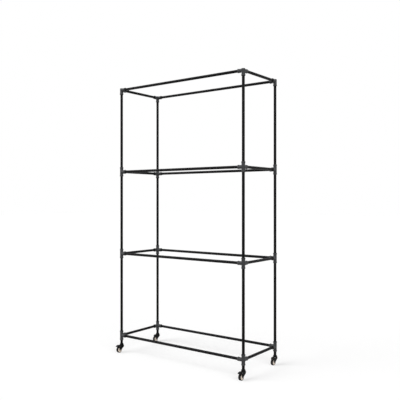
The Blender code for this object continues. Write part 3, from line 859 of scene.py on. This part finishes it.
def powder_coat(name, base, dust_and_top_light, roughness, grain):
    """Powder coat: fine orange peel, faint blotches, metallic specks, worn edges, and dust with painted top
    light on what faces up.
    """
    paint = Paint(name)
    blotch = paint.noise(5)
    speck = paint.noise(2600, 1)
    peel = paint.noise(grain, 2, 0.45)
    fine = paint.noise(grain * 4.5, 1)
    hairline = paint.step(paint.noise(900, 4, 0.7), 0.66, 0.76)
    # Dust and painted top light: what faces up takes a lighter tone, standing in both for dust and for the
    # light that falls on the tops
    dust = paint.facing_up() * paint.step(paint.noise(420, 4, 0.65), 0.3, 0.75)
    edge = paint.worn() * paint.step(paint.noise(420, 4, 0.7), 0.52, 0.66)
    coat = paint.coats(base, 0.85, (paint.step(blotch, 0.3, 0.7), 1.15),
                       (paint.step(speck, 0.58, 0.76) * 0.55, 7.0), (hairline * 0.4, 5.0),
                       (dust * 0.3, dust_and_top_light), (edge * 0.55, scaled(dust_and_top_light, 1.5)))
    rough = roughness + 0.04 * (blotch - 0.5) + 0.12 * dust + 0.06 * (fine - 0.5) - 0.05 * hairline
    relief = paint.relief((peel, 0.55, 0.16), (fine, 0.3, 0.05))
    return paint.finish(coat, rough, relief, shine=0.06)


def cast_coat(name, base):
    """Coat over cast iron: the sand's grain shows through, pits stay darker, high rims are rubbed.

    The mould's parting line stands out in the level plane through the middle of every tier.
    """
    paint = Paint(name)
    above = paint.node("SeparateXYZ", {"Vector": paint.place}, "Z") - (LOWEST_TIER - TIER_PITCH / 2)
    from_tier = abs(above % TIER_PITCH - TIER_PITCH / 2)
    grain = paint.noise(1500, 3, 0.6)
    lumps = paint.noise(210)
    from_pit = paint.node("TexVoronoi", {"Vector": paint.place, "Scale": 900}, "Distance")
    pits = 1 - paint.step(from_pit, 0.05, 0.28)
    blotch = paint.noise(26, 4, 0.6)
    dust = paint.facing_up() * paint.step(paint.noise(75, 5, 0.6), 0.3, 0.7)
    edge = paint.worn() * paint.step(paint.noise(520, 4, 0.7), 0.5, 0.66)
    coat = paint.coats(base, 0.85, (paint.step(blotch, 0.3, 0.7), 1.2), (pits, 0.55), (dust * 0.25, 1.8),
                       (edge * 0.45, 2.4))
    rough = 0.44 + 0.14 * (grain - 0.5) + 0.1 * dust - 0.08 * edge
    parting = 1 - paint.step(from_tier, 0.25 * MM, 0.75 * MM)
    relief = paint.relief((parting, 0.8, 0.22), (lumps, 0.35, 0.35), (grain, 0.4, 0.12))
    return paint.finish(coat, rough, relief, shine=0.2)


def moulded_black(name, base):
    """Black nylon with a spark-eroded grain, shinier where a shoe rubs the ribs."""
    paint = Paint(name)
    grey_dust = (0.05, 0.048, 0.045)
    grain = paint.noise(1900, 3, 0.6)
    scuff = paint.step(paint.noise(300, 4, 0.7, stretch=(1, 0.25, 1)), 0.58, 0.7)
    rubbed = paint.worn()
    dust = paint.facing_up() * paint.step(paint.noise(150, 5, 0.65), 0.4, 0.75)
    coat = paint.coats(base, 1.0, (scuff * 0.35, 3.0), (dust * 0.18, grey_dust), (rubbed * 0.45, 2.6))
    rough = 0.58 + 0.12 * (grain - 0.5) - 0.16 * rubbed + 0.1 * dust
    return paint.finish(coat, rough, paint.relief((grain, 0.45, 0.1)), shine=0.15)


def tyre_rubber(name, base):
    """Rubber: dull, with grey floor dust on the tread and fine flow lines on the walls."""
    paint = Paint(name)
    floor_dust = (0.06, 0.056, 0.051)
    flow = paint.noise(380, 4, 0.6)
    fine = paint.noise(2200)
    dust = paint.worn() * paint.step(paint.noise(240, 5, 0.7), 0.4, 0.68)
    coat = paint.coats(base, 0.8, (paint.step(flow, 0.3, 0.7), 1.3), (dust * 0.35, floor_dust))
    rough = 0.72 + 0.14 * (flow - 0.5) + 0.12 * dust
    return paint.finish(coat, rough, paint.relief((flow, 0.18, 0.12), (fine, 0.3, 0.06)), shine=0.12)


def ivory_plastic(name, base):
    """Moulded hub plastic: warm and a little cloudy, with a little dirt lying in the dish."""
    paint = Paint(name)
    brown_dirt = (0.42, 0.33, 0.25)
    cloud = paint.noise(120, 3, 0.55)
    grain = paint.noise(1600)
    dirt = paint.worn() * paint.step(paint.noise(330, 5, 0.7), 0.35, 0.8)
    coat = paint.coats(base, 0.95, (paint.step(cloud, 0.3, 0.7), 1.02), (dirt * 0.12, brown_dirt))
    rough = 0.42 + 0.1 * (cloud - 0.5) + 0.2 * dirt
    return paint.finish(coat, rough, paint.relief((grain, 0.15, 0.05)), shine=0.45)


def zinc_plate(name, base):
    """Dulled zinc over steel: brushed across, with a faint yellow passivation and grey stains."""
    paint = Paint(name)
    brush = paint.noise(900, 3, 0.6, stretch=(0.15, 1, 1))
    stain = paint.noise(160, 4, 0.6)
    yellowed = (base[0] * 0.98, base[1] * 0.93, base[2] * 0.8)
    spots = paint.step(paint.noise(420, 5, 0.7), 0.58, 0.72)
    coat = paint.coats(base, 1.0, (paint.step(stain, 0.35, 0.65), yellowed), (spots * 0.5, 0.55))
    rough = 0.34 + 0.2 * (brush - 0.5) + 0.12 * (stain - 0.5)
    return paint.finish(coat, rough, paint.relief((brush, 0.2, 0.05)), metal=1)


# Stage

FLOOR_REACH = 40
FLOOR_LIFT = 0.03
KEY_FROM, KEY_SPREAD = (-0.5, -0.6, 0.62), math.radians(46)
FILL_FROM, FILL_SPREAD = (0.75, -0.4, 0.42), math.radians(60)
CAMERA_PLACE = (2.7461, -3.574, 1.277)
CAMERA_HEADING = math.radians(36.872)
CAMERA_LENS = 50.397
HORIZON_SHIFT = -0.0008
VIEW_DEPTH = 200


def stage_white(bounce, glow):
    """Pale floor: white to the eye and in reflections, and a share of white where it only lends light.

    To the eye it glows a little under the light that falls on it, so a shadow never turns heavy.
    """
    paint = Paint("stage_white")
    seen = paint.seen()
    paint.feed(paint.shader, {
        "Roughness": 1, "Specular IOR Level": 0, "Emission Strength": 1,
        "Base Color": paint.mix(seen, (bounce,) * 3, (1 - glow,) * 3),
        "Emission Color": paint.mix(seen, (0,) * 3, (glow + FLOOR_LIFT,) * 3)})
    return paint.material


def add_floor(scene, material):
    r = FLOOR_REACH
    mesh = bpy.data.meshes.new("stage_floor")
    mesh.from_pydata([(-r, -r, 0), (r, -r, 0), (r, r, 0), (-r, r, 0)], [], [(0, 1, 2, 3)])
    mesh.materials.append(material)
    floor = bpy.data.objects.new("stage_floor", mesh)
    scene.collection.objects.link(floor)


def light_world(scene, sky):
    """World, white to the eye and in reflections, that lights the object at the sky's strength."""
    world = bpy.data.worlds.new("studio")
    world.use_nodes = True
    wiring = Wiring(world.node_tree)
    strength = sky + (1 - sky) * wiring.seen()
    wiring.feed(world.node_tree.nodes["Background"], {"Color": (1, 1, 1, 1), "Strength": strength})
    scene.world = world


def add_sun(scene, name, towards, strength, spread):
    """Soft distant lamp that lies towards a direction and whose width is an angle."""
    light = bpy.data.lights.new(name, "SUN")
    light.energy = strength
    light.angle = spread
    lamp = bpy.data.objects.new(name, light)
    lamp.rotation_euler = Vector(towards).to_track_quat("Z", "Y").to_euler()
    scene.collection.objects.link(lamp)


def add_camera(scene):
    """Level camera at chest height, a little to the right of the rack's front."""
    data = bpy.data.cameras.new("product_camera")
    data.lens = CAMERA_LENS
    data.shift_y = HORIZON_SHIFT
    data.clip_end = VIEW_DEPTH
    camera = bpy.data.objects.new("product_camera", data)
    camera.location = CAMERA_PLACE
    camera.rotation_euler = (TURN / 4, 0, CAMERA_HEADING)
    scene.collection.objects.link(camera)
    scene.camera = camera


# Operators

def settings(context):
    return context.scene.rack_sizes, context.scene.rack_finish


class RACK_OT_tubes(bpy.types.Operator):
    """Make the four posts and the sixteen rails as eased hollow tubes"""
    bl_idname = "ball_rack.tubes"
    bl_label = "Posts and Rails"

    def execute(self, context):
        sizes, finish = settings(context)
        coat = powder_coat("coated_tube", finish.tube_coat, dust_and_top_light=(0.04, 0.04, 0.042), roughness=0.38,
                           grain=620)
        nodes = [f"post_{corner}" for corner in CORNERS]
        nodes += [f"rail_{side}_{tier}" for tier in TIERS for side in ("front", "back", "left", "right")]
        for node in nodes:
            size = size_of(node)
            tube = tube_shape(TUBE_RADIUS, sizes.tube_wall, size.max(), sizes.tube_sides)
            stand_in(node, "coated", lay([tube], centre_of(node), "XYZ"[size.argmax()]), coat)
        return {"FINISHED"}


class RACK_OT_fittings(bpy.types.Operator):
    """Make the cast side-outlet fittings and the set screws that clamp the tubes in them"""
    bl_idname = "ball_rack.fittings"
    bl_label = "Fittings and Set Screws"

    def execute(self, context):
        sizes, finish = settings(context)
        coat = cast_coat("coated_casting", finish.fitting_coat)
        steel = zinc_plate("screw_steel", scaled(finish.zinc, 0.6))
        side, top = fitting_shapes(sizes, False), fitting_shapes(sizes, True)
        boss, screw = screw_boss(), grub_screw()
        underside = TUBE_RADIUS + GAP + sizes.fitting_wall
        out = (SOCKET_REACH - sizes.collar_length + underside) / 2 + SCREW_SHIFT
        seats = [(out, 0, -underside), (0, out, -underside)]
        bosses = [upside_down(boss, seat) for seat in seats]
        screws = [upside_down(screw, seat) for seat in seats]
        for quarter, corner in enumerate(CORNERS):
            turn = quarter * TURN / 4
            for tier in TIERS:
                place = post_axis(corner) + (0, 0, centre_of(f"rail_front_{tier}")[2])
                shapes = (top if tier == TIERS[-1] else side) + bosses
                stand_in(f"fitting_{corner}_{tier}", "cast", lay(shapes, place, turn=turn), coat)
                new_piece(f"set_screws_{corner}_{tier}", lay(screws, place, turn=turn), steel,
                          "rack_frame")
        return {"FINISHED"}


class RACK_OT_casters(bpy.types.Operator):
    """Make the swivel stems, forks and axles of the four casters"""
    bl_idname = "ball_rack.casters"
    bl_label = "Caster Stems and Forks"

    def execute(self, context):
        sizes, finish = settings(context)
        coat = powder_coat("coated_fork", finish.caster_coat, dust_and_top_light=(0.045, 0.045, 0.047), roughness=0.32,
                           grain=800)
        zinc = zinc_plate("plated_rivet", finish.zinc)
        stem = [stem_shape(sizes)]
        fork = fork_shapes(sizes)
        axle = [rivet_shape(**AXLE)]
        for corner in CORNERS:
            place = post_axis(corner)
            stand_in(f"caster_stem_{corner}", "turned", lay(stem, place), coat)
            stand_in(f"caster_fork_{corner}", "pressed", lay(fork, place), coat)
            stand_in(f"caster_axle_{corner}", "riveted", lay(axle, place + HUB_CENTRE, "X"), zinc)
        return {"FINISHED"}


class RACK_OT_wheels(bpy.types.Operator):
    """Make the moulded hubs and the rubber tyres"""
    bl_idname = "ball_rack.wheels"
    bl_label = "Wheels"

    def execute(self, context):
        sizes, finish = settings(context)
        ivory = ivory_plastic("hub_ivory_plastic", finish.hub_plastic)
        rubber = tyre_rubber("tyre_rubber", finish.rubber)
        hub = [hub_shape(sizes)]
        tyre = [tyre_shape(sizes)]
        for corner in CORNERS:
            place = post_axis(corner) + HUB_CENTRE
            stand_in(f"wheel_hub_{corner}", "moulded", lay(hub, place, "X"), ivory)
            stand_in(f"tyre_{corner}", "rubber", lay(tyre, place, "X"), rubber)
        return {"FINISHED"}


class RACK_OT_brakes(bpy.types.Operator):
    """Make the brake pedals of the two front casters and the pins that they turn on"""
    bl_idname = "ball_rack.brakes"
    bl_label = "Brakes"

    def execute(self, context):
        sizes, finish = settings(context)
        plastic = moulded_black("pedal_nylon", finish.pedal_plastic)
        zinc = zinc_plate("plated_pin", finish.zinc)
        pedal = pedal_shapes(sizes)
        pin = [rivet_shape(**PIN)]
        for corner in BRAKED:
            place = post_axis(corner) + PIN_CENTRE
            stand_in(f"brake_pedal_{corner}", "moulded", lay(pedal, place), plastic)
            stand_in(f"brake_pin_{corner}", "riveted", lay(pin, place, "X"), zinc)
        return {"FINISHED"}


class RACK_OT_stage(bpy.types.Operator):
    """Make the pale floor, the soft light and the camera at the photograph's viewing angle"""
    bl_idname = "ball_rack.stage"
    bl_label = "Stage, Light and Camera"

    def execute(self, context):
        scene = context.scene
        stage = scene.rack_stage
        scene.view_settings.view_transform = "Standard"
        add_floor(scene, stage_white(stage.bounce, stage.floor_glow))
        light_world(scene, stage.sky_strength)
        add_sun(scene, "key_light", KEY_FROM, stage.key_strength, KEY_SPREAD)
        add_sun(scene, "fill_light", FILL_FROM, stage.fill_strength, FILL_SPREAD)
        add_camera(scene)
        return {"FINISHED"}


class RACK_PT_panel(bpy.types.Panel):
    """Lists the steps that build the rack and the settings that they read"""
    bl_idname = "RACK_PT_panel"
    bl_label = "Ball Rack"
    bl_space_type = "VIEW_3D"
    bl_region_type = "UI"
    bl_category = "Ball Rack"

    def draw(self, context):
        for step in STEPS:
            self.layout.operator(step.bl_idname)
        for name, group in GROUPS.items():
            box = self.layout.box()
            for setting in group.__annotations__:
                box.prop(getattr(context.scene, name), setting)


STEPS = (RACK_OT_stage, RACK_OT_tubes, RACK_OT_fittings, RACK_OT_casters, RACK_OT_wheels, RACK_OT_brakes)
GROUPS = {"rack_finish": RackFinish, "rack_sizes": RackSizes, "rack_stage": RackStage}
CLASSES = (*GROUPS.values(), *STEPS, RACK_PT_panel)


def register():
    for item in CLASSES:
        bpy.utils.register_class(item)
    for name, group in GROUPS.items():
        setattr(bpy.types.Scene, name, PointerProperty(type=group))


def unregister():
    for name in GROUPS:
        delattr(bpy.types.Scene, name)
    for item in reversed(CLASSES):
        bpy.utils.unregister_class(item)


def main():
    register()
    for step in STEPS:
        section, name = step.bl_idname.split(".")
        getattr(getattr(bpy.ops, section), name)()


if __name__ == "__main__":
    main()
